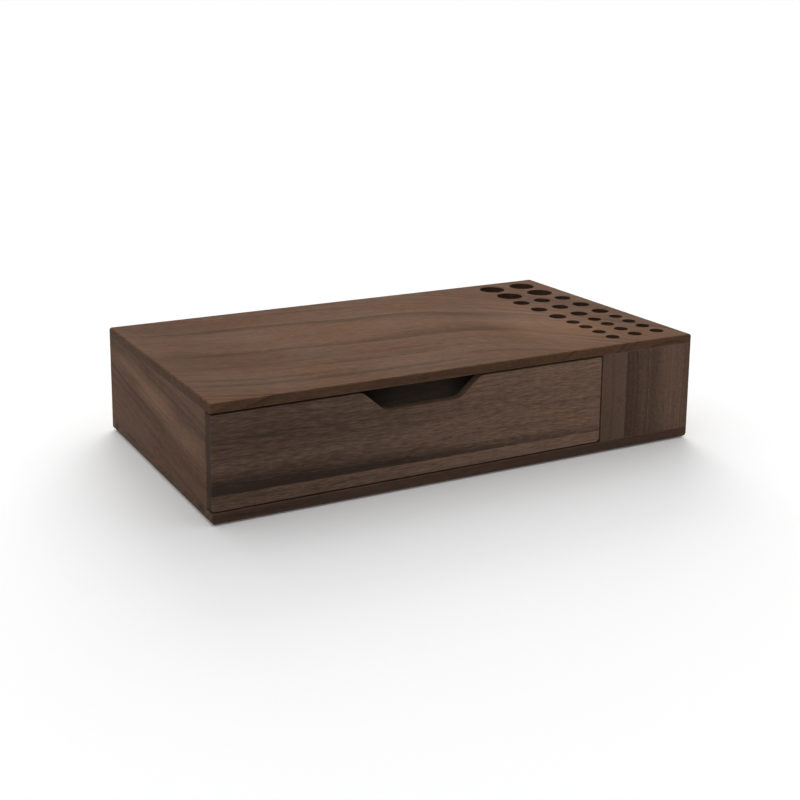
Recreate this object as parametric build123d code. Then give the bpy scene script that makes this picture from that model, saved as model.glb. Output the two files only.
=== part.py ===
"""A walnut valet box: one wide drawer at the left and a block of drilled pen holes at the right.

Millimetres. X runs to the right along the front, Y to the back and Z up. The origin is the centre
of the footprint, on the surface that the box stands on.
"""

import os

from build123d import *

# The case
box_width = 360.0
box_depth = 200.0
body_height = 75.0  # underside of the bottom board to the top face
top_thickness = 6.0
bottom_thickness = 7.0
side_thickness = 8.0
back_thickness = 8.0
back_rebate = 4.0  # how far the back board is let into its two neighbours
foot_round = 6.0  # the bottom board's two ends, along their lower edges
end_round = 3.0  # the top board's two ends, along their upper edges
easing = 1.0  # the hand-sanded corners of the boards

# The pads under the bottom board
pad_diameter = 12.0
pad_height = 1.0
pad_inset = 22.0  # pad centre to the nearest two faces of the case

# The pen block, glued up from upright staves and drilled after gluing
stave_width = 20.0
stave_count = 4
last_stave_trim = 4.0  # planed off the right-hand stave, down to the block's width
hole_depth = 60.0  # from the top face down

# Small holes in front, then medium, then large at the back. Insets are from a face of the case to
# the nearest hole centres, and steps are from the last row of one size to the first of the next.
small_drill = 10.0
small_rows = 4
small_row_pitch = 15.5
small_inset = 18.7  # from the front
medium_drill = 13.0
medium_step = 19.0  # behind the small rows
medium_row_pitch = 24.0
pen_columns = 3
pen_column_pitch = 19.3
pen_inset = 16.0  # from the right-hand face
large_drill = 20.0
large_rows = 2
large_row_pitch = 25.5
large_inset = 18.9  # from the back
large_least_step = 20.0  # behind the medium rows, which are as many as fit
large_columns = 2
large_column_pitch = 28.4
large_side_inset = 21.6  # from the right-hand face

# The drawer
front_thickness = 7.0
wall_thickness = 7.0
panel_thickness = 4.0
panel_lift = 3.0  # lower edge of a drawer side to the bottom panel
groove_depth = 3.0  # for the panel, the back and the housings in the drawer front
panel_play = 0.3  # between the panel's edge and the floor of its groove
front_corner = 4.0  # the lower corners of the drawer front, seen from the front
front_top_corner = 1.5
front_easing = 0.8

# The finger notch in the upper edge of the drawer front
notch_width = 54.6  # along its floor
notch_depth = 13.4
notch_flare = 15.7  # how far each flank leans out on its way up
notch_round = 8.0
notch_shift = 2.2  # to the right of the drawer front's middle

# Clearances
reveal = 0.8  # above and below the drawer front, and before the side board
slide_gap = 1.2  # between the drawer and each side of its bay
running_gap = 0.3  # under the drawer sides, and behind the closed drawer

# Faces of the case
case_left = -box_width / 2
case_right = box_width / 2
case_front = -box_depth / 2
case_back = box_depth / 2
underside = pad_height
bay_floor = underside + bottom_thickness
top_face = underside + body_height
bay_ceiling = top_face - top_thickness
hole_floor = top_face - hole_depth

# Faces of the drawer's bay
bay_left = case_left + side_thickness
block_left = case_right + last_stave_trim - stave_count * stave_width
bay_back = case_back - back_thickness

# Faces of the drawer
drawer_left = bay_left + slide_gap
drawer_right = block_left - slide_gap
inner_left = drawer_left + wall_thickness
inner_right = drawer_right - wall_thickness
drawer_rear = bay_back - running_gap
front_rear = case_front + front_thickness
housing_floor = front_rear - groove_depth
side_low = bay_floor + running_gap
drawer_high = bay_ceiling - reveal
panel_low = side_low + panel_lift
panel_high = panel_low + panel_thickness


def board(x, y, z):
    """A plain board between two faces on each axis."""
    size = Box(x[1] - x[0], y[1] - y[0], z[1] - z[0], align=(Align.MIN, Align.MIN, Align.MIN))
    return Pos(x[0], y[0], z[0]) * size


def front_to_back(section, y):
    """A section drawn as the front view shows it, carried from one Y to another."""
    return extrude(Plane.XZ.offset(-y[1]) * section, amount=y[1] - y[0])


def edges_in_plane(part, axis, position):
    """The edges that lie in one plane square to an axis."""
    return part.edges().filter_by_position(axis, position, position)


def evenly(first, pitch, count):
    """Places at an even pitch, starting with the first."""
    return [first + index * pitch for index in range(count)]


def pen_holes():
    """X, Y and drill of every hole."""
    small_y = evenly(case_front + small_inset, small_row_pitch, small_rows)
    large_y = evenly(case_back - large_inset, -large_row_pitch, large_rows)
    medium_first = small_y[-1] + medium_step
    medium_room = large_y[-1] - large_least_step - medium_first
    medium_y = evenly(medium_first, medium_row_pitch, 1 + int(medium_room // medium_row_pitch))
    pen_x = evenly(case_right - pen_inset, -pen_column_pitch, pen_columns)
    large_x = evenly(case_right - large_side_inset, -large_column_pitch, large_columns)
    groups = (
        (small_drill, pen_x, small_y),
        (medium_drill, pen_x, medium_y),
        (large_drill, large_x, large_y),
    )
    return [(x, y, drill) for drill, across, along in groups for y in along for x in across]


def drilled(part):
    """The part with every pen hole drilled into it, from the top face to the holes' floor."""
    for x, y, drill in pen_holes():
        part -= Pos(x, y, hole_floor) * Cylinder(
            drill / 2, hole_depth, align=(Align.CENTER, Align.CENTER, Align.MIN)
        )
    return part


def top_board():
    """The full-width top, rounded most along its two ends, with every hole through it."""
    middle = (bay_ceiling + top_face) / 2
    section = Pos(0, middle) * Rectangle(box_width, top_thickness)
    section = fillet(section.vertices().group_by(Axis.Y)[-1], end_round)
    part = front_to_back(section, (case_front, case_back))
    for face in (case_front, case_back):
        part = fillet(edges_in_plane(part, Axis.Y, face).sort_by(Axis.Z)[1:], easing)
    return drilled(part)


def bottom_board():
    """The full-width bottom, with its two ends rounded up from the surface below."""
    middle = (underside + bay_floor) / 2
    section = Pos(0, middle) * Rectangle(box_width, bottom_thickness)
    section = fillet(section.vertices().group_by(Axis.Y)[0], foot_round)
    part = front_to_back(section, (case_front, case_back))
    for face in (case_front, case_back):
        part = fillet(edges_in_plane(part, Axis.Y, face).sort_by(Axis.Z)[:-1], easing)
    return part


def left_side_board():
    """The left wall, which starts behind the drawer front and has a rebate for the back board."""
    front = front_rear + reveal
    part = board((case_left, bay_left), (front, case_back), (bay_floor, bay_ceiling))
    upright = part.edges().filter_by(Axis.Z)
    part = fillet(edges_in_plane(part, Axis.X, case_left) & upright, easing)
    rebate = board((bay_left - back_rebate, bay_left), (bay_back, case_back), (bay_floor, bay_ceiling))
    return part - rebate


def back_board():
    """The back of the drawer's bay, let into the side board and the first stave."""
    across = (bay_left - back_rebate, block_left + back_rebate)
    return board(across, (bay_back, case_back), (bay_floor, bay_ceiling))


def pen_block_stave(index):
    """One stave of the pen block, counted from the drawer to the right-hand face."""
    left = block_left + index * stave_width
    right = min(left + stave_width, case_right)
    upright = (bay_floor, bay_ceiling)
    part = board((left, right), (case_front, case_back), upright)
    if index == 0:
        part -= board((left, left + back_rebate), (bay_back, case_back), upright)
    if index == stave_count - 1:
        corners = edges_in_plane(part, Axis.X, right) & part.edges().filter_by(Axis.Z)
        part = fillet(corners, easing)
    return drilled(part)


def rubber_pads():
    """Four pads, one near each corner of the underside."""
    across = box_width / 2 - pad_inset
    along = box_depth / 2 - pad_inset
    pad = Cylinder(pad_diameter / 2, pad_height, align=(Align.CENTER, Align.CENTER, Align.MIN))
    places = [(x, y) for x in (-across, across) for y in (-along, along)]
    return Compound(children=[Pos(x, y, 0) * pad for x, y in places])


def front_outline():
    """The drawer front as seen from the front, with the finger notch in its upper edge."""
    low = bay_floor + reveal
    floor = drawer_high - notch_depth
    middle = (case_left + drawer_right) / 2 + notch_shift
    half_floor = notch_width / 2
    half_mouth = half_floor + notch_flare
    outline = Polygon(
        (case_left, low),
        (drawer_right, low),
        (drawer_right, drawer_high),
        (middle + half_mouth, drawer_high),
        (middle + half_floor, floor),
        (middle - half_floor, floor),
        (middle - half_mouth, drawer_high),
        (case_left, drawer_high),
        align=None,
    )
    outline = fillet(outline.vertices().sort_by(Axis.X)[2:6], notch_round)
    outline = fillet(outline.vertices().group_by(Axis.Y)[0], front_corner)
    upper = outline.vertices().group_by(Axis.Y)[-1].sort_by(Axis.X)
    return fillet([upper[0], upper[-1]], front_top_corner)


def drawer_front():
    """The drawer front, which covers the side board, with housings and a groove in its back."""
    part = front_to_back(front_outline(), (case_front, front_rear))
    part = fillet(edges_in_plane(part, Axis.Y, case_front), front_easing)
    cut = (housing_floor, front_rear)
    full_height = (bay_floor, bay_ceiling)
    part -= board((drawer_left, inner_left), cut, full_height)
    part -= board((inner_right, drawer_right), cut, full_height)
    return part - board((inner_left, inner_right), cut, (panel_low, panel_high))


def drawer_side(outer, inner):
    """A drawer side from its outer to its inner face, grooved for the panel and cut for the back."""
    across = sorted((outer, inner))
    part = board(across, (housing_floor, drawer_rear), (side_low, drawer_high))
    part = fillet(edges_in_plane(part, Axis.Z, drawer_high).filter_by(Axis.Y), easing)
    into = groove_depth if outer > inner else -groove_depth
    cut = sorted((inner, inner + into))
    part -= board(cut, (housing_floor, drawer_rear), (panel_low, panel_high))
    return part - board(cut, (drawer_rear - wall_thickness, drawer_rear), (panel_high, bay_ceiling))


def drawer_back():
    """The drawer's back wall, which stands on the bottom panel."""
    across = (inner_left - groove_depth, inner_right + groove_depth)
    return board(across, (drawer_rear - wall_thickness, drawer_rear), (panel_high, drawer_high))


def drawer_bottom():
    """The bottom panel, held in grooves on three sides and slid in under the back."""
    reach = groove_depth - panel_play
    across = (inner_left - reach, inner_right + reach)
    return board(across, (front_rear - reach, drawer_rear), (panel_low, panel_high))


def pieces():
    """Every piece by its node's name."""
    made = {
        "top_board": top_board(),
        "bottom_board": bottom_board(),
        "left_side_board": left_side_board(),
        "back_board": back_board(),
        "rubber_pads": rubber_pads(),
        "drawer_front": drawer_front(),
        "drawer_left_side": drawer_side(drawer_left, inner_left),
        "drawer_right_side": drawer_side(drawer_right, inner_right),
        "drawer_back": drawer_back(),
        "drawer_bottom": drawer_bottom(),
    }
    for index in range(stave_count):
        made[f"pen_block_stave_{index + 1}"] = pen_block_stave(index)
    return made


os.makedirs("parts", exist_ok=True)
for name, shape in pieces().items():
    export_step(shape, f"parts/{name}.step")
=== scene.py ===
import math

import bmesh
import bpy
import numpy as np
from mathutils import Matrix, Vector


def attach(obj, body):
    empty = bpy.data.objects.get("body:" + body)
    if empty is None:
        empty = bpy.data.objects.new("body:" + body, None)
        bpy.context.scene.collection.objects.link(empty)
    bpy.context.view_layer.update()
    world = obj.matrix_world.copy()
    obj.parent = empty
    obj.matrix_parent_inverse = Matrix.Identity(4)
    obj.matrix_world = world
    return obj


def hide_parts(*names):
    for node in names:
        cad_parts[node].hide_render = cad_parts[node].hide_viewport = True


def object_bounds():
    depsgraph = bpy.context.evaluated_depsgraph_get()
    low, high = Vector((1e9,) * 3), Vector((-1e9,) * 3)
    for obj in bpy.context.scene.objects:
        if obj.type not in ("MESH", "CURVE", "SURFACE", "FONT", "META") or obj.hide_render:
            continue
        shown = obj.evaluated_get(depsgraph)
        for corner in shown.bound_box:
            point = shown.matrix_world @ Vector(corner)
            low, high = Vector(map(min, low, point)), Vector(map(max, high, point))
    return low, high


# Walnut valet box: eased boards with their own grain, four pads, a white studio and the camera.
# Metres, in the frame's own axes: X to the right along the front, Y to the back, Z up.

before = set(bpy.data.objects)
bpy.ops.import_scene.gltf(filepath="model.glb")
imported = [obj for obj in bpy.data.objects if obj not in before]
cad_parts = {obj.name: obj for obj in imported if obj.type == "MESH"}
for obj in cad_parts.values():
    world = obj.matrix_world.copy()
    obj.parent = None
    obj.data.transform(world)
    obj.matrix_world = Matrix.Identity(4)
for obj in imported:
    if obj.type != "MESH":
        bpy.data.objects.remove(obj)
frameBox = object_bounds()


# The frame's meshes as arrays

def placesOf(mesh):
    # a mesh's vertices, one row of X, Y and Z each
    flat = np.empty(3 * len(mesh.vertices), dtype=np.float32)
    mesh.vertices.foreach_get("co", flat)
    return flat.astype(float).reshape(-1, 3)


def nodeBox(name):
    # the lowest and the highest X, Y and Z of one of the frame's pieces
    places = placesOf(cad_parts[name].data)
    return places.min(axis=0), places.max(axis=0)


# Small helpers for node trees

def shade(red, green, blue):
    # a colour given in 0 to 255, as the linear colour a shader takes
    def linear(value):
        value /= 255
        return value / 12.92 if value <= 0.04045 else ((value + 0.055) / 1.055) ** 2.4
    return (linear(red), linear(green), linear(blue), 1.0)


def feed(tree, socket, value):
    if isinstance(value, bpy.types.NodeSocket):
        tree.links.new(value, socket)
    else:
        socket.default_value = value


def put(tree, kind, inputs=None, **settings):
    # one node, with its settings and with values or links on its inputs
    made = tree.nodes.new(kind)
    for name, value in settings.items():
        setattr(made, name, value)
    for name, value in (inputs or {}).items():
        feed(tree, made.inputs[name], value)
    return made


def calc(tree, operation, *values, clamp=False):
    inputs = dict(enumerate(values))
    return put(tree, "ShaderNodeMath", inputs, operation=operation, use_clamp=clamp).outputs[0]


def vectorCalc(tree, operation, first, second=None):
    inputs = {0: first}
    if second is not None:
        inputs["Scale" if operation == "SCALE" else 1] = second
    made = put(tree, "ShaderNodeVectorMath", inputs, operation=operation)
    return made.outputs["Value" if operation in ("DOT_PRODUCT", "LENGTH") else "Vector"]


def ease(tree, value, low, high, toLow=0.0, toHigh=1.0):
    # a smooth step from toLow at low to toHigh at high
    inputs = {"Value": value, "From Min": low, "From Max": high, "To Min": toLow, "To Max": toHigh}
    return put(tree, "ShaderNodeMapRange", inputs, interpolation_type="SMOOTHSTEP").outputs["Result"]


def noise(tree, place, detail, roughness=0.5):
    inputs = {"Vector": place, "Scale": 1.0, "Detail": detail, "Roughness": roughness}
    return put(tree, "ShaderNodeTexNoise", inputs)


def grain(tree, place, stretch, detail, roughness=0.5):
    # noise whose frequency differs on each axis, in turns per metre
    return noise(tree, vectorCalc(tree, "MULTIPLY", place, stretch), detail, roughness).outputs["Fac"]


def blend(tree, amount, first, second, mode="MIX"):
    # a Mix node takes its two colours on sockets 6 and 7 and gives the mixed one on output 2
    made = put(tree, "ShaderNodeMix", {"Factor": amount, 6: first, 7: second}, data_type="RGBA",
               blend_type=mode, clamp_factor=True)
    return made.outputs[2]


def newGroup(name, inputs, outputs):
    group = bpy.data.node_groups.new(name, "ShaderNodeTree")
    for label, kind, start in inputs:
        socket = group.interface.new_socket(label, in_out="INPUT", socket_type=kind)
        if start is not None:
            socket.default_value = start
    for label, kind in outputs:
        group.interface.new_socket(label, in_out="OUTPUT", socket_type=kind)
    return group, put(group, "NodeGroupInput"), put(group, "NodeGroupOutput")


def newMaterial(name):
    material = bpy.data.materials.new(name)
    material.use_nodes = True
    material.node_tree.nodes.clear()
    return material, material.node_tree


# Walnut: one figure of grain and one mask of worn edges, which every board uses with its own values

# the noises of the figure, with their turns per metre along the grain and across it both ways
grainNoise = {
    "slow": {"stretch": (3.0, 11.0, 11.0), "detail": 2.0},
    "coarse": {"stretch": (14.0, 480.0, 480.0), "detail": 3.0, "roughness": 0.6},
    "fine": {"stretch": (130.0, 1500.0, 1500.0), "detail": 2.0, "roughness": 0.6},
    "blotch": {"stretch": (14.0, 30.0, 30.0), "detail": 3.0},
}
# the same for what follows the rings: along the grain, then outwards from the pith
ringNoise = {
    "uneven": {"stretch": (1.6, 75.0), "detail": 2.0},
    "strength": {"stretch": (5.0, 160.0), "detail": 1.0},
    "bands": {"stretch": (2.2, 62.0), "detail": 3.0, "roughness": 0.55},
}
woodFigure = {
    "wanderGain": 2.4,  # noise stays near its middle, so the push it gives is made this much stronger
    "ringSpread": 3.0,  # by how many rings their spacing may stray
    "ringRise": 2.6,  # the higher, the later in its ring a growth line darkens
    "ringEnd": (0.9, 1.0),  # where in its ring a growth line ends
    "ringFade": (0.4, 0.66),  # the noise where a ring has no line, and where it has a whole one
    "poreStretch": (170.0, 2600.0, 2600.0),  # pore cells per metre
    "poreEdge": (0.16, 0.42),  # from a pore's dark middle to its rim, in widths of its cell
    "fineRelief": 0.5,  # how far fibres rise and fall, where a pore is 1 deep
    "lineRelief": 0.3,  # how deep growth lines lie
}


def alongRings(tree, along, distance, stretch, detail, roughness=0.5):
    # noise drawn out along the growth rings
    place = put(tree, "ShaderNodeCombineXYZ", {"X": calc(tree, "MULTIPLY", along, stretch[0]),
                                               "Y": calc(tree, "MULTIPLY", distance, stretch[1])})
    return noise(tree, place.outputs[0], detail, roughness).outputs["Fac"]


def makeWalnutFigure():
    # Growth rings are cylinders round a pith line that runs along X outside the board. The distance to
    # it, pushed about by slow noise, gives the growth lines and the broad bands of tone. Fibres and
    # pores are fine noise and cells drawn out along X, so an end face shows them as dots.
    floatKind, vectorKind = "NodeSocketFloat", "NodeSocketVector"
    group, given, out = newGroup(
        "walnutFigure",
        [("Place", vectorKind, None), ("Pith", vectorKind, None), ("Ring Width", floatKind, 0.006),
         ("Wander", floatKind, 0.006), ("Lines", floatKind, 0.3), ("Bands", floatKind, 0.5),
         ("Fibres", floatKind, 0.3), ("Fine", floatKind, 0.5), ("Pore Share", floatKind, 0.4)],
        [("Tone", floatKind), ("Pores", floatKind), ("Relief", floatKind), ("Blotch", floatKind)])
    place = given.outputs["Place"]

    # the rings' slow wandering, in metres
    slowPlace = vectorCalc(group, "MULTIPLY", place, grainNoise["slow"]["stretch"])
    slow = noise(group, slowPlace, grainNoise["slow"]["detail"])
    centred = vectorCalc(group, "SUBTRACT", slow.outputs["Color"], (0.5, 0.5, 0.5))
    wander = calc(group, "MULTIPLY", given.outputs["Wander"], woodFigure["wanderGain"])
    moved = vectorCalc(group, "ADD", place, vectorCalc(group, "SCALE", centred, wander))

    # distance from the pith line
    fromPith = vectorCalc(group, "SUBTRACT", moved, given.outputs["Pith"])
    along, y, z = put(group, "ShaderNodeSeparateXYZ", {0: fromPith}).outputs
    squares = calc(group, "ADD", calc(group, "MULTIPLY", y, y), calc(group, "MULTIPLY", z, z))
    distance = calc(group, "SQRT", squares)

    # growth lines: each ring darkens slowly and ends in a short dark line
    uneven = alongRings(group, along, distance, **ringNoise["uneven"])
    turns = calc(group, "ADD", calc(group, "DIVIDE", distance, given.outputs["Ring Width"]),
                 calc(group, "MULTIPLY", uneven, woodFigure["ringSpread"]))
    ring = calc(group, "FRACT", turns)
    rise = calc(group, "POWER", ring, woodFigure["ringRise"])
    lineHere = calc(group, "MULTIPLY", rise, ease(group, ring, *woodFigure["ringEnd"], 1.0, 0.0))
    # some rings are stronger than others, and each fades in and out along the board
    strength = alongRings(group, along, distance, **ringNoise["strength"])
    lines = calc(group, "MULTIPLY", lineHere, ease(group, strength, *woodFigure["ringFade"]))

    # broad bands of tone that follow the rings, and fibres, coarse and fine
    bands = alongRings(group, along, distance, **ringNoise["bands"])
    coarse = grain(group, moved, **grainNoise["coarse"])
    fine = grain(group, moved, **grainNoise["fine"])

    # pores: long cells, each with a dark slot in it if its own number is low enough
    porePlace = vectorCalc(group, "MULTIPLY", moved, woodFigure["poreStretch"])
    cells = put(group, "ShaderNodeTexVoronoi", {"Vector": porePlace, "Scale": 1.0}, feature="F1")
    chance = put(group, "ShaderNodeSeparateColor", {0: cells.outputs["Color"]})
    present = calc(group, "LESS_THAN", chance.outputs[0], given.outputs["Pore Share"])
    slot = ease(group, cells.outputs["Distance"], *woodFigure["poreEdge"], 1.0, 0.0)
    pores = calc(group, "MULTIPLY", present, slot)

    tone = calc(group, "SUBTRACT", 0.5, calc(group, "MULTIPLY", lines, given.outputs["Lines"]))
    for part, amount in ((bands, "Bands"), (coarse, "Fibres"), (fine, "Fine")):
        centredPart = calc(group, "SUBTRACT", part, 0.5)
        tone = calc(group, "ADD", tone, calc(group, "MULTIPLY", centredPart, given.outputs[amount]))
    relief = calc(group, "SUBTRACT", calc(group, "MULTIPLY", fine, woodFigure["fineRelief"]), pores)
    relief = calc(group, "SUBTRACT", relief, calc(group, "MULTIPLY", lines, woodFigure["lineRelief"]))
    blotch = grain(group, place, **grainNoise["blotch"])
    for label, value in (("Tone", tone), ("Pores", pores), ("Relief", relief), ("Blotch", blotch)):
        feed(group, out.inputs[label], value)
    return group


handledEdges = {
    "samples": 4,
    "turn": (0.004, 0.12),  # how far the surface turns where wear starts, and where it is whole
    "patches": {"stretch": (130.0, 130.0, 130.0), "detail": 3.0},
    "patchEdge": (0.3, 0.62),  # the noise where a patch of wear starts, and where it is whole
}


def makeWornEdge():
    # 1 where the surface turns within the reach of a point, broken up by noise
    group, given, out = newGroup(
        "wornEdge", [("Place", "NodeSocketVector", None), ("Reach", "NodeSocketFloat", 0.001)],
        [("Mask", "NodeSocketFloat")])
    rounded = put(group, "ShaderNodeBevel", {"Radius": given.outputs["Reach"]},
                  samples=handledEdges["samples"])
    flat = put(group, "ShaderNodeNewGeometry")
    agree = vectorCalc(group, "DOT_PRODUCT", rounded.outputs[0], flat.outputs["Normal"])
    turned = ease(group, calc(group, "SUBTRACT", 1.0, agree), *handledEdges["turn"])
    patchy = ease(group, grain(group, given.outputs["Place"], **handledEdges["patches"]),
                  *handledEdges["patchEdge"])
    feed(group, out.inputs["Mask"], calc(group, "MULTIPLY", turned, patchy))
    return group


walnutFigure = makeWalnutFigure()
wornEdge = makeWornEdge()


# One board's walnut

# which way each grain runs, and the turn that brings it onto X
grainWays = {"x": (1, 0, 0), "y": (0, 1, 0)}
grainTurns = {"x": (0.0, 0.0, 0.0), "y": (0.0, 0.0, -math.pi / 2)}
# how the figure turns into colour and finish, the same on every board
woodFinish = {
    "patchEdge": (0.2, 1.0),  # a patch is whole up to the first share of its reach and gone at the second
    "patchRagged": (0.2, 0.7, 0.55, 1.15),  # blotches from low to high weaken or strengthen a patch
    "hueDrift": (0.3, 0.7),  # blotches from the cool hue to the warm one
    "endGrainAndShadeFace": (0.6, 0.98),  # how squarely a face looks along the grain to start and to be end grain, and along Y to start and to be whole under painted edge shade
    "roughDrift": (0.25, 0.75),  # blotches from the smoothest to the roughest
    "roughSpread": 0.07,
    "poreRough": 0.15,
    "wornSmooth": 0.12,
    "bumpDepth": 0.00012,
}
# the pen holes' painted shade: how upright their walls are, how far inside the block's faces they lie and
# the painted shade's colour
paintedBoreShadow = {"upright": (0.3, 0.7), "left": (0.002, 0.003), "right": (0.001, 0.002), "ends": (0.003, 0.004),
         "colour": (30, 25, 23)}


def facing(tree, coords, way, *step):
    # a smooth step over how squarely a face looks along a direction, either way
    alike = vectorCalc(tree, "DOT_PRODUCT", coords.outputs["Normal"], way)
    return ease(tree, calc(tree, "ABSOLUTE", alike), *step)


def boreWalls(tree, coords, spot):
    # 1 on upright faces inside the pen block, which are the walls of its holes, where shade is painted
    low, high = nodeBox("pen_block_stave_1")[0], nodeBox("pen_block_stave_4")[1]
    x, y = spot.outputs["X"], calc(tree, "ABSOLUTE", spot.outputs["Y"])
    walls = facing(tree, coords, (0, 0, 1), *paintedBoreShadow["upright"], 1.0, 0.0)
    for depth, step in ((calc(tree, "SUBTRACT", x, low[0]), paintedBoreShadow["left"]),
                        (calc(tree, "SUBTRACT", high[0], x), paintedBoreShadow["right"]),
                        (calc(tree, "SUBTRACT", high[1], y), paintedBoreShadow["ends"])):
        walls = calc(tree, "MULTIPLY", walls, ease(tree, depth, *step))
    return walls


def swirled(tree, place, x, swirl):
    # growth lines that turn down towards the front near the holes, and a little at the left-hand end
    def curve(past, strength):
        square = calc(tree, "POWER", calc(tree, "MAXIMUM", past, 0.0), 2.0)
        return calc(tree, "MULTIPLY", square, strength)

    lift = curve(calc(tree, "SUBTRACT", x, swirl["start"]), swirl["turn"])
    dip = curve(calc(tree, "SUBTRACT", swirl["leftStart"], x), swirl["leftTurn"])
    shift = put(tree, "ShaderNodeCombineXYZ", {"Y": calc(tree, "SUBTRACT", lift, dip)})
    return vectorCalc(tree, "ADD", place, shift.outputs[0])


def grainPlace(tree, look, coords, spot):
    # where a point lies in the wood that the board was cut from, with the grain along X
    inputs = {"Vector": coords.outputs["Object"], "Rotation": grainTurns[look["grain"]]}
    place = put(tree, "ShaderNodeMapping", inputs).outputs[0]
    if "swirl" in look:
        place = swirled(tree, place, spot.outputs["X"], look["swirl"])
    if "slant" in look:  # grain at a slight angle to the board's edge
        place = put(tree, "ShaderNodeMapping", {"Vector": place, "Rotation": look["slant"]}).outputs[0]
    return vectorCalc(tree, "ADD", place, look["offset"])


def streakTone(tree, streak, place, spot):
    # what a heartwood streak does to the tone: darkest along its sharp lower edge and gone at its upper
    # edge, with a few hairlines that run down into it and lighter wood below
    height = spot.outputs["Z"]
    across = calc(tree, "SUBTRACT", spot.outputs["X"], streak["left"])
    waver = calc(tree, "SUBTRACT", grain(tree, place, **streak["waver"]), 0.5)

    def edge(start, slope, ripple):
        level = calc(tree, "ADD", calc(tree, "MULTIPLY", across, slope), start)
        return calc(tree, "ADD", level, calc(tree, "MULTIPLY", waver, ripple))

    lower = edge(streak["floor"], streak["floorSlope"], streak["lowRipple"])
    upper = edge(streak["top"], streak["topSlope"], streak["topRipple"])
    overEdge = calc(tree, "SUBTRACT", height, lower)
    above = ease(tree, overEdge, *streak["lowerEdge"])
    below = ease(tree, height, lower, upper, 1.0, 0.0)
    fade = ease(tree, across, *streak["fade"])
    inStreak = calc(tree, "MULTIPLY", calc(tree, "MULTIPLY", above, below), fade)
    change = calc(tree, "MULTIPLY", inStreak, -streak["depth"])
    for start, slope, reach, depth in streak["hairlines"]:
        off = calc(tree, "SUBTRACT", height, edge(start, slope, streak["lowRipple"]))
        onLine = ease(tree, calc(tree, "ABSOLUTE", off), 0.0, streak["hairWidth"], -depth, 0.0)
        faded = calc(tree, "MULTIPLY", onLine, ease(tree, across, 0.0, reach, 1.0, 0.0))
        change = calc(tree, "ADD", change, faded)
    return calc(tree, "ADD", change, ease(tree, overEdge, *streak["lowerEdge"], streak["underLift"], 0.0))


def patchTone(tree, patch, place, blotch):
    # what a soft, ragged patch does to the tone
    centre, reach, change = patch
    away = vectorCalc(tree, "DIVIDE", vectorCalc(tree, "SUBTRACT", place, centre), reach)
    inside = ease(tree, vectorCalc(tree, "LENGTH", away), *woodFinish["patchEdge"], 1.0, 0.0)
    ragged = ease(tree, blotch, *woodFinish["patchRagged"])
    return calc(tree, "MULTIPLY", calc(tree, "MULTIPLY", inside, ragged), change)


def boardTone(tree, look, figure, coords, spot):
    # the figure's tone and what is this board's own
    place, blotch = coords.outputs["Object"], figure.outputs["Blotch"]
    changes = []
    if "streak" in look:
        changes.append(streakTone(tree, look["streak"], place, spot))
    for start, stop, change in look["steps"]:
        changes.append(ease(tree, spot.outputs["X"], start, stop, 0.0, change))
    for patch in look["patches"]:
        changes.append(patchTone(tree, patch, place, blotch))
    tone = figure.outputs["Tone"]
    for change in changes + [look["lift"]]:
        tone = calc(tree, "ADD", tone, change)
    return tone


def woodColour(tree, look, figure, coords, spot):
    ramp = put(tree, "ShaderNodeValToRGB", {"Fac": boardTone(tree, look, figure, coords, spot)})
    ramp.color_ramp.interpolation = "B_SPLINE"
    marks = ramp.color_ramp.elements
    marks[0].color, marks[1].color = shade(*look["dark"]), shade(*look["light"])
    marks.new(0.5).color = shade(*look["middle"])

    # slow drift of hue, redder and greyer by turns
    drift = ease(tree, figure.outputs["Blotch"], *woodFinish["hueDrift"])
    hue = blend(tree, drift, shade(*look["cool"]), shade(*look["warm"]))
    colour = blend(tree, look["hueShare"], ramp.outputs["Color"], hue, "SOFT_LIGHT")
    # end grain drinks more finish and looks darker; some boards also get painted shade on faces to the
    # front and back
    for way, amount in ((look["grain"], look["endGrainAndShade"]), ("y", look["paintedEdgeShade"])):
        endGrainAndShadeFace = facing(tree, coords, grainWays[way], *woodFinish["endGrainAndShadeFace"])
        colour = blend(tree, calc(tree, "MULTIPLY", endGrainAndShadeFace, amount), colour, shade(*look["endGrainAndShadeColour"]))
    if look["paintedBoreShade"] > 0:  # painted shade on the walls of the deep pen holes
        wall = calc(tree, "MULTIPLY", boreWalls(tree, coords, spot), look["paintedBoreShade"])
        colour = blend(tree, wall, colour, shade(*paintedBoreShadow["colour"]))
    pores = calc(tree, "MULTIPLY", figure.outputs["Pores"], look["poreDepth"])
    return blend(tree, pores, colour, shade(*look["pore"]))


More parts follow.
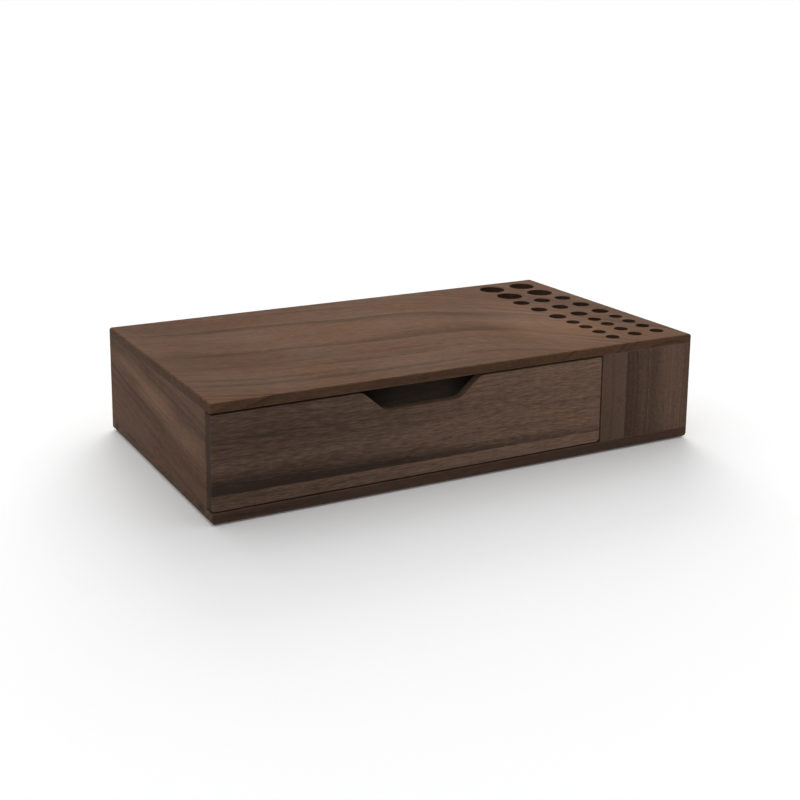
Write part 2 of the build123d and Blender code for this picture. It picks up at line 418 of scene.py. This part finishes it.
def walnut(name, look):
    material, tree = newMaterial(name)
    coords = put(tree, "ShaderNodeTexCoord")
    spot = put(tree, "ShaderNodeSeparateXYZ", {0: coords.outputs["Object"]})
    figure = put(tree, "ShaderNodeGroup", {
        "Place": grainPlace(tree, look, coords, spot), "Pith": look["pith"],
        "Ring Width": look["ringWidth"], "Wander": look["wander"], "Lines": look["lines"],
        "Bands": look["bands"], "Fibres": look["fibres"], "Fine": look["fine"],
        "Pore Share": look["poreShare"]}, node_tree=walnutFigure)
    inputs = {"Place": coords.outputs["Object"], "Reach": look["wearReach"]}
    worn = put(tree, "ShaderNodeGroup", inputs, node_tree=wornEdge)
    wear = calc(tree, "MULTIPLY", worn.outputs["Mask"], look["wear"])
    colour = blend(tree, wear, woodColour(tree, look, figure, coords, spot), shade(*look["wornColour"]))

    # blotches and pores are rougher, handled edges smoother
    spread = woodFinish["roughSpread"]
    rough = ease(tree, figure.outputs["Blotch"], *woodFinish["roughDrift"],
                 look["rough"] - spread, look["rough"] + spread)
    poreRough = calc(tree, "MULTIPLY", figure.outputs["Pores"], woodFinish["poreRough"])
    wornSmooth = calc(tree, "MULTIPLY", wear, woodFinish["wornSmooth"])
    rough = calc(tree, "SUBTRACT", calc(tree, "ADD", rough, poreRough), wornSmooth, clamp=True)
    bump = put(tree, "ShaderNodeBump", {"Height": figure.outputs["Relief"], "Strength": look["bump"],
                                        "Distance": woodFinish["bumpDepth"]})
    surface = put(tree, "ShaderNodeBsdfPrincipled", {
        "Base Color": colour, "Roughness": rough, "Normal": bump.outputs[0],
        "Specular IOR Level": look["specular"]})
    put(tree, "ShaderNodeOutputMaterial", {"Surface": surface.outputs[0]})
    return material


# Boards

# what counts as one place, as flat and as a sharp edge, and how a rim is rounded
rims = {"merge": 0.000002, "flatAngle": 0.4, "sharpAngle": 35, "segments": 2, "profile": 0.5,
        "normalWeight": 90}


def tightened(places, corner):
    # Carries the points of a rounded corner onto a smaller round between the same two faces. Across and
    # down run from the centre of the old round. Each point keeps its angle, atan2(down, across), and its
    # depth under the surface, the old radius less hypot(across, down).
    (outX, outZ), old, new = corner["out"], corner["old"], corner["new"]
    low, high = places.min(axis=0), places.max(axis=0)
    x = high[0] if outX > 0 else low[0]
    z = high[2] if outZ > 0 else low[2]
    across = (places[:, 0] - x) * outX + old
    down = (places[:, 2] - z) * outZ + old
    angle = np.arctan2(down, across)
    reach = new - (old - np.hypot(across, down))
    onRound = np.minimum(across, down) > -rims["merge"]
    moved = places.copy()
    moved[onRound, 0] = (x + outX * (reach * np.cos(angle) - new))[onRound]
    moved[onRound, 2] = (z + outZ * (reach * np.sin(angle) - new))[onRound]
    return moved


def reshaped(places, board):
    for corner in board.get("corners", ()):
        places = tightened(places, corner)
    if "lowered" in board:  # the part above a height sits lower by so much
        places[places[:, 2] > board["lowered"]["above"], 2] -= board["lowered"]["by"]
    return places


def easedBoard(name, board):
    # The board's own faces, reshaped and merged, with a narrow rounded rim on every sharp edge.
    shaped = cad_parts[board["node"]].data.copy()
    shaped.vertices.foreach_set("co", reshaped(placesOf(shaped), board).astype(np.float32).ravel())
    work = bmesh.new()
    work.from_mesh(shaped)
    bpy.data.meshes.remove(shaped)
    bmesh.ops.remove_doubles(work, verts=work.verts, dist=rims["merge"])
    bmesh.ops.dissolve_limit(work, angle_limit=math.radians(rims["flatAngle"]), verts=work.verts,
                             edges=work.edges)
    sharpAngle = math.radians(rims["sharpAngle"])
    sharp = [edge for edge in work.edges
             if len(edge.link_faces) == 2 and edge.calc_face_angle(0.0) > sharpAngle]
    bmesh.ops.bevel(work, geom=sharp, offset=board["rim"], segments=rims["segments"],
                    profile=rims["profile"], affect="EDGES", clamp_overlap=True)
    for face in work.faces:
        face.smooth = True
    mesh = bpy.data.meshes.new(name)
    work.to_mesh(mesh)
    work.free()

    piece = bpy.data.objects.new(name, mesh)
    bpy.context.collection.objects.link(piece)
    weighted = piece.modifiers.new("evenNormals", "WEIGHTED_NORMAL")
    weighted.keep_sharp = False
    weighted.weight = rims["normalWeight"]
    mesh.materials.append(walnut(name + "Walnut", board["look"]))
    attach(piece, board["body"])
    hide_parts(board["node"])
    print(name, len(mesh.polygons), "faces")


# every board's look starts from this one and changes what is its own
plainWalnut = {
    "grain": "x", "offset": (0.0, 0.0, 0.0), "pith": (0.0, 0.03, -0.09),  # where in the log the board lay
    "ringWidth": 0.0065, "wander": 0.006, "poreShare": 0.35,
    "lines": 0.35, "bands": 0.55, "fibres": 0.4, "fine": 0.6,  # how much each changes the tone
    "steps": (),  # the tone changes between two places along X: both places and the change
    "patches": (),  # soft lighter or darker areas: the centre, the half sizes and the change
    "lift": 0.0,  # a change of tone all over
    "dark": (52, 38, 29), "middle": (96, 73, 58), "light": (134, 106, 87),
    "cool": (112, 104, 100), "warm": (140, 112, 96), "hueShare": 0.25,
    # end grain is darker; painted shade darkens faces to the front and back, and the pen holes' walls,
    # where a board asks for it
    "endGrainAndShade": 0.35, "paintedEdgeShade": 0.0, "endGrainAndShadeColour": (40, 31, 27), "paintedBoreShade": 0.0,
    "pore": (58, 42, 34), "poreDepth": 0.5,
    "wear": 0.18, "wearReach": 0.0012, "wornColour": (142, 113, 94),
    "rough": 0.7, "bump": 0.5, "specular": 0.06,
}
# corners: which way each points along X and Z, the radius that the frame's mesh has and the one it gets
topBoard = {
    "node": "top_board", "body": "case", "slot": "walnut_top", "rim": 0.0004,
    "corners": [{"out": (side, 1), "old": 0.003, "new": 0.0018} for side in (-1, 1)],
    "look": plainWalnut | {
        "pith": (0.0, 0.02, -0.075), "ringWidth": 0.0058, "lines": 0.42, "bands": 0.45, "fine": 0.9,
        "swirl": {"start": 0.008, "turn": 5.2, "leftStart": -0.10, "leftTurn": 3.0},
        "patches": [((0.105, -0.03, 0.076), (0.05, 0.09, 0.05), 0.26),
                    ((-0.16, 0.02, 0.076), (0.08, 0.12, 0.05), -0.1)],
        "dark": (50, 34, 24), "middle": (88, 63, 44), "light": (138, 104, 78),
        # painted shade on the front and back edges and on the walls of the pen holes
        "paintedEdgeShade": 0.42, "paintedBoreShade": 0.5,
    },
}
bottomBoard = {
    "node": "bottom_board", "body": "case", "slot": "walnut_bottom", "rim": 0.0004,
    "corners": [{"out": (side, -1), "old": 0.006, "new": 0.0025} for side in (-1, 1)],
    "look": plainWalnut | {
        "offset": (1.7, 0.31, 0.0), "pith": (0.0, 0.36, 0.12),
        "patches": [((-0.18, 0.088, 0.006), (0.004, 0.007, 0.003), -0.4),
                    ((-0.18, -0.083, 0.006), (0.004, 0.01, 0.003), -0.4)],
        # painted shade on the front and back edges; the ends keep the board's tone
        "middle": (86, 67, 57), "endGrainAndShade": 0.05, "paintedEdgeShade": 0.42,
    },
}
sideBoard = {
    "node": "left_side_board", "body": "case", "slot": "walnut_side", "rim": 0.0004,
    "look": plainWalnut | {
        "grain": "y", "slant": (0.0, 0.10, 0.0), "offset": (0.6, 0.9, 0.2), "pith": (0.0, 1.15, 0.16),
        "ringWidth": 0.0075, "lines": 0.22, "lift": -0.05,
        "patches": [((-0.18, 0.055, 0.059), (0.05, 0.055, 0.009), 0.22),
                    ((-0.18, 0.0, 0.051), (0.05, 0.055, 0.012), 0.32),
                    ((-0.18, -0.055, 0.041), (0.05, 0.055, 0.012), 0.18)],
    },
}
backBoard = {
    "node": "back_board", "body": "case", "slot": "walnut_back", "rim": 0.0003,
    "look": plainWalnut | {"offset": (3.1, 0.4, 0.7), "pith": (0.0, 0.5, 0.73)},
}
firstStave = {
    "node": "pen_block_stave_1", "body": "case", "slot": "walnut_stave_light", "rim": 0.0002,
    "look": plainWalnut | {
        "grain": "y", "offset": (4.2, 0.2, 0.1), "pith": (0.0, 0.6, 0.14),
        "ringWidth": 0.0055, "lines": 0.15,
        # the walls of this stave's pen holes get painted shade
        "dark": (58, 44, 37), "middle": (105, 84, 73), "light": (140, 114, 98), "paintedBoreShade": 0.5,
    },
}
# the three outer staves match so well that they read as one board, lighter towards its right-hand edge
secondStave = {
    "node": "pen_block_stave_2", "body": "case", "slot": "walnut_stave_dark", "rim": 0.00005,
    "look": plainWalnut | {
        "grain": "y", "offset": (5.3, 0.5, 0.3), "pith": (0.0, 0.9, 0.34),
        "ringWidth": 0.004, "lines": 0.2,
        "steps": ((0.124, 0.142, 0.1), (0.15, 0.162, 0.27), (0.171, 0.178, -0.2)),
        # the walls of these staves' pen holes get painted shade
        "dark": (34, 26, 22), "middle": (60, 46, 40), "light": (142, 114, 96), "paintedBoreShade": 0.5,
    },
}
thirdStave = secondStave | {"node": "pen_block_stave_3", "slot": "walnut_stave_mid"}
fourthStave = secondStave | {"node": "pen_block_stave_4", "slot": "walnut_stave_tan"}
drawerLowered = {"above": 0.045, "by": 0.0005}  # the gap over the drawer, as wide as in the photograph
drawerFront = {
    "node": "drawer_front", "body": "drawer", "slot": "walnut_front", "rim": 0.0002,
    "corners": [{"out": (-1, -1), "old": 0.004, "new": 0.002},
                {"out": (1, -1), "old": 0.004, "new": 0.003}],
    "lowered": drawerLowered,
    "look": plainWalnut | {
        "offset": (7.4, 0.0, 0.9), "pith": (0.0, 0.12, 0.78), "ringWidth": 0.004,
        "lines": 0.2, "bands": 0.35, "fibres": 0.28, "fine": 0.9,
        "steps": ((-0.16, 0.09, 0.28),), "lift": -0.16,
        "dark": (38, 29, 24), "middle": (90, 72, 61), "light": (140, 113, 96), "hueShare": 0.15,
        # its ends are dark as end grain and darker still with painted shade
        "endGrainAndShade": 0.8, "endGrainAndShadeColour": (44, 32, 25),
        # heights of the streak's edges at the left end, with their slopes and how far they waver
        "streak": {"left": -0.18, "floor": 0.0183, "floorSlope": -0.0055, "lowRipple": 0.0009,
                   "top": 0.035, "topSlope": -0.039, "topRipple": 0.0045,
                   "waver": {"stretch": (14.0, 0.0, 60.0), "detail": 3.0},
                   "lowerEdge": (-0.0003, 0.0007), "depth": 0.42, "fade": (0.12, 0.29, 1.0, 0.55),
                   "underLift": 0.1, "hairWidth": 0.0006,
                   # each hairline's height, slope, length and depth of tone
                   "hairlines": ((0.0268, -0.115, 0.1, 0.25), (0.023, -0.08, 0.07, 0.2))},
    },
}
# the drawer's sides and back: a guessed paler wood than the walnut outside, made pale also as painted
# light in the shaded inside of the drawer
paleDrawerWithPaintedLight = plainWalnut | {
    "grain": "y", "offset": (9.1, 0.7, 0.4), "pith": (0.0, 0.9, 0.3),
    "dark": (120, 104, 91), "middle": (162, 144, 128), "light": (186, 168, 150),
}
drawerLeftSide = {
    "node": "drawer_left_side", "body": "drawer", "slot": "walnut_drawer", "rim": 0.0003,
    "lowered": drawerLowered, "look": paleDrawerWithPaintedLight,
}
drawerRightSide = drawerLeftSide | {
    "node": "drawer_right_side", "look": paleDrawerWithPaintedLight | {"offset": (10.3, 0.2, 0.6)},
}
drawerBack = drawerLeftSide | {
    "node": "drawer_back",
    "look": paleDrawerWithPaintedLight | {"grain": "x", "offset": (11.9, 0.1, 0.8), "pith": (0.0, 0.2, 0.7)},
}
drawerBottom = {
    "node": "drawer_bottom", "body": "drawer", "slot": "drawer_panel", "rim": 0.0002,
    "look": plainWalnut | {
        "offset": (13.0, 0.3, 0.2), "pith": (0.0, 0.34, 0.1),
        # paler still: partly a guessed pale panel, partly painted light in the shaded inside of the
        # drawer
        "dark": (142, 124, 110), "middle": (184, 166, 150), "light": (204, 188, 172),
    },
}
boards = {
    "topBoard": topBoard, "bottomBoard": bottomBoard, "sideBoard": sideBoard, "backBoard": backBoard,
    "firstStave": firstStave, "secondStave": secondStave, "thirdStave": thirdStave,
    "fourthStave": fourthStave, "drawerFront": drawerFront, "drawerLeftSide": drawerLeftSide,
    "drawerRightSide": drawerRightSide, "drawerBack": drawerBack, "drawerBottom": drawerBottom,
}
for boardName, board in boards.items():
    easedBoard(boardName, board)


# Pads

pads = {
    "radius": 0.006, "inset": 0.022, "lip": 0.0003, "lipPoints": 5, "topLip": 0.0001, "around": 48,
    "underRings": (0.35, 0.75), "topRing": 0.6,  # rings between the middle and the rim, in radii
    "grit": {"stretch": (2600.0, 2600.0, 2600.0), "detail": 3.0}, "gritBump": 0.4, "gritDepth": 0.00008,
    "dust": {"stretch": (300.0, 300.0, 300.0), "detail": 3.0}, "dustEdge": (0.35, 0.7),
    "roughRange": (0.3, 0.7, 0.72, 0.86),
    "colour": (34, 32, 31), "dusty": (52, 49, 47),
    "wear": 0.4, "wearReach": 0.0004, "wornColour": (84, 80, 77),
}


def rubber():
    material, tree = newMaterial("padRubber")
    place = put(tree, "ShaderNodeTexCoord").outputs["Object"]
    grit = grain(tree, place, **pads["grit"])
    dust = grain(tree, place, **pads["dust"])
    dusty = ease(tree, dust, *pads["dustEdge"])
    colour = blend(tree, dusty, shade(*pads["colour"]), shade(*pads["dusty"]))
    worn = put(tree, "ShaderNodeGroup", {"Place": place, "Reach": pads["wearReach"]}, node_tree=wornEdge)
    wear = calc(tree, "MULTIPLY", worn.outputs["Mask"], pads["wear"])
    bump = put(tree, "ShaderNodeBump", {"Height": grit, "Strength": pads["gritBump"],
                                        "Distance": pads["gritDepth"]})
    surface = put(tree, "ShaderNodeBsdfPrincipled", {
        "Base Color": blend(tree, wear, colour, shade(*pads["wornColour"])),
        "Roughness": ease(tree, dust, *pads["roughRange"]), "Normal": bump.outputs[0]})
    put(tree, "ShaderNodeOutputMaterial", {"Surface": surface.outputs[0]})
    return material


def onePad(height):
    # A profile of radius r and height z turned about a vertical line: the point at angle a is
    # (r cos a, r sin a, z). The profile runs out along the underside, round a quarter circle of a lip, up
    # the wall and in across the top. Its first and last rings close in a point on the line.
    lip, radius, topLip = pads["lip"], pads["radius"], pads["topLip"]
    corner = np.linspace(0, math.pi / 2, pads["lipPoints"])
    r = np.concatenate((np.array(pads["underRings"]) * radius, radius - lip + lip * np.sin(corner),
                        [radius, radius - topLip, pads["topRing"] * radius]))
    z = np.concatenate((np.zeros(len(pads["underRings"])), lip - lip * np.cos(corner),
                        [height - topLip, height, height]))
    angle = np.linspace(0, 2 * math.pi, pads["around"], endpoint=False)
    rows, turns = len(r), len(angle)
    rings = np.stack([np.outer(r, np.cos(angle)), np.outer(r, np.sin(angle)),
                      np.repeat(z[:, None], turns, axis=1)], axis=-1)
    points = np.concatenate([rings.reshape(-1, 3), [[0, 0, 0], [0, 0, height]]])

    # each face joins a step to the following one, and a row to the one above or to a closing point
    row, step = np.meshgrid(np.arange(rows - 1), np.arange(turns), indexing="ij")
    following = (step + 1) % turns
    quads = np.stack([row * turns + step, row * turns + following,
                      (row + 1) * turns + following, (row + 1) * turns + step], axis=-1).reshape(-1, 4)
    step, following = step[0], following[0]
    lastRow, lowPoint, highPoint = (rows - 1) * turns, rows * turns, rows * turns + 1
    under = np.stack([np.full(turns, lowPoint), following, step], axis=-1)
    top = np.stack([np.full(turns, highPoint), lastRow + step, lastRow + following], axis=-1)
    return points, (quads, under, top)


def roundPads():
    # one pad near each corner, its middle the inset away from the case's two nearest faces
    points, kinds = onePad(nodeBox("rubber_pads")[1][2])
    x, y = frameBox[1][0] - pads["inset"], frameBox[1][1] - pads["inset"]
    places, faces = [], []
    for index, centre in enumerate([(-x, -y, 0), (-x, y, 0), (x, -y, 0), (x, y, 0)]):
        places.append(points + centre)
        for kind in kinds:
            faces += (kind + index * len(points)).tolist()
    mesh = bpy.data.meshes.new("floorPads")
    mesh.from_pydata(np.concatenate(places).tolist(), [], faces)
    mesh.shade_smooth()
    mesh.materials.append(rubber())
    piece = bpy.data.objects.new("floorPads", mesh)
    bpy.context.collection.objects.link(piece)
    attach(piece, "case")
    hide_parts("rubber_pads")


roundPads()
print("pads made")


# Studio

# each lamp: its power, where its light comes from, how many degrees it fills and whether gloss shows it
studio = {"floorReach": 30.0, "floorColour": 0.93, "floorLift": 0.02, "worldLight": 0.04,
          "lamps": {"overhead": (2.0, (0.0, 0.1, 1.0), 120, True),
                    "backWall": (1.3, (0.45, 0.85, 0.35), 80, False),
                    "lowBack": (2.25, (0.45, 0.9, 0.24), 40, False),
                    "leftCard": (0.16, (-0.9, 0.25, 0.45), 90, True),
                    "cameraCard": (0.7, (-0.40, -0.70, 0.25), 10, True)}}


def seenDirectly(tree):
    # 1 for what the camera, a reflection or clear glass looks at, 0 where light only bounces
    path = put(tree, "ShaderNodeLightPath")
    seen = calc(tree, "ADD", path.outputs["Is Camera Ray"], path.outputs["Is Glossy Ray"])
    return calc(tree, "ADD", seen, path.outputs["Is Transmission Ray"], clamp=True)


def whiteFloor():
    # matt white paint, lifted a little where it is seen directly
    mesh = bpy.data.meshes.new("studioFloor")
    corners = np.array([[-1, -1, 0], [1, -1, 0], [1, 1, 0], [-1, 1, 0]]) * studio["floorReach"]
    mesh.from_pydata(corners.tolist(), [], [(0, 1, 2, 3)])
    material, tree = newMaterial("floorPaint")
    white = studio["floorColour"]
    paint = put(tree, "ShaderNodeBsdfDiffuse", {"Color": (white, white, white, 1.0)})
    seen = calc(tree, "MULTIPLY", seenDirectly(tree), studio["floorLift"])
    glow = put(tree, "ShaderNodeEmission", {"Color": (1, 1, 1, 1), "Strength": seen})
    both = put(tree, "ShaderNodeAddShader", {0: paint.outputs[0], 1: glow.outputs[0]})
    put(tree, "ShaderNodeOutputMaterial", {"Surface": both.outputs[0]})
    mesh.materials.append(material)
    floor = bpy.data.objects.new("studioFloor", mesh)
    bpy.context.collection.objects.link(floor)


def whiteWorld():
    # white to the camera and in reflections, dimmer where it lights the wood
    world = bpy.data.worlds.new("studioAir")
    bpy.context.scene.world = world
    world.use_nodes = True
    tree = world.node_tree
    tree.nodes.clear()
    strength = ease(tree, seenDirectly(tree), 0.0, 1.0, studio["worldLight"], 1.0)
    air = put(tree, "ShaderNodeBackground", {"Color": (1, 1, 1, 1), "Strength": strength})
    put(tree, "ShaderNodeOutputWorld", {"Surface": air.outputs[0]})


def wideLamp(name, power, aim, spread, inGloss):
    data = bpy.data.lights.new(name, "SUN")
    data.energy = power
    data.angle = math.radians(spread)
    lamp = bpy.data.objects.new(name, data)
    lamp.rotation_euler = Vector(aim).to_track_quat("Z", "Y").to_euler()
    lamp.visible_glossy = inGloss
    bpy.context.collection.objects.link(lamp)


whiteFloor()
whiteWorld()
for lampName, (power, aim, spread, inGloss) in studio["lamps"].items():
    wideLamp(lampName, power, aim, spread, inGloss)
print("studio lit")

# the photograph's viewpoint: turned 27.6 degrees to the left of the front, 11.5 degrees up
viewpoint = {"place": (-0.43853, -0.79699, 0.3121), "azimuth": -27.615, "elevation": 11.5135,
             "roll": 0.2729, "lens": 59.71, "sensor": 36.0, "shift": (0.035, -0.175),
             "nearest": 0.01, "farthest": 200.0}


def placeCamera():
    azimuth, elevation, roll = (math.radians(viewpoint[key]) for key in ("azimuth", "elevation", "roll"))
    back = Vector((math.sin(azimuth) * math.cos(elevation), -math.cos(azimuth) * math.cos(elevation),
                   math.sin(elevation)))
    right = (-back).cross(Vector((0, 0, 1))).normalized()
    up = right.cross(-back)
    tiltedRight = math.cos(roll) * right + math.sin(roll) * up
    tiltedUp = math.cos(roll) * up - math.sin(roll) * right
    data = bpy.data.cameras.new("camera")
    data.sensor_width = viewpoint["sensor"]
    data.lens = viewpoint["lens"]
    data.shift_x, data.shift_y = viewpoint["shift"]
    data.clip_start, data.clip_end = viewpoint["nearest"], viewpoint["farthest"]
    camera = bpy.data.objects.new("camera", data)
    turn = Matrix((tiltedRight, tiltedUp, back)).transposed().to_4x4()
    camera.matrix_world = Matrix.Translation(viewpoint["place"]) @ turn
    bpy.context.collection.objects.link(camera)
    bpy.context.scene.camera = camera


placeCamera()
bpy.context.scene.view_settings.view_transform = "Standard"
print("camera placed")
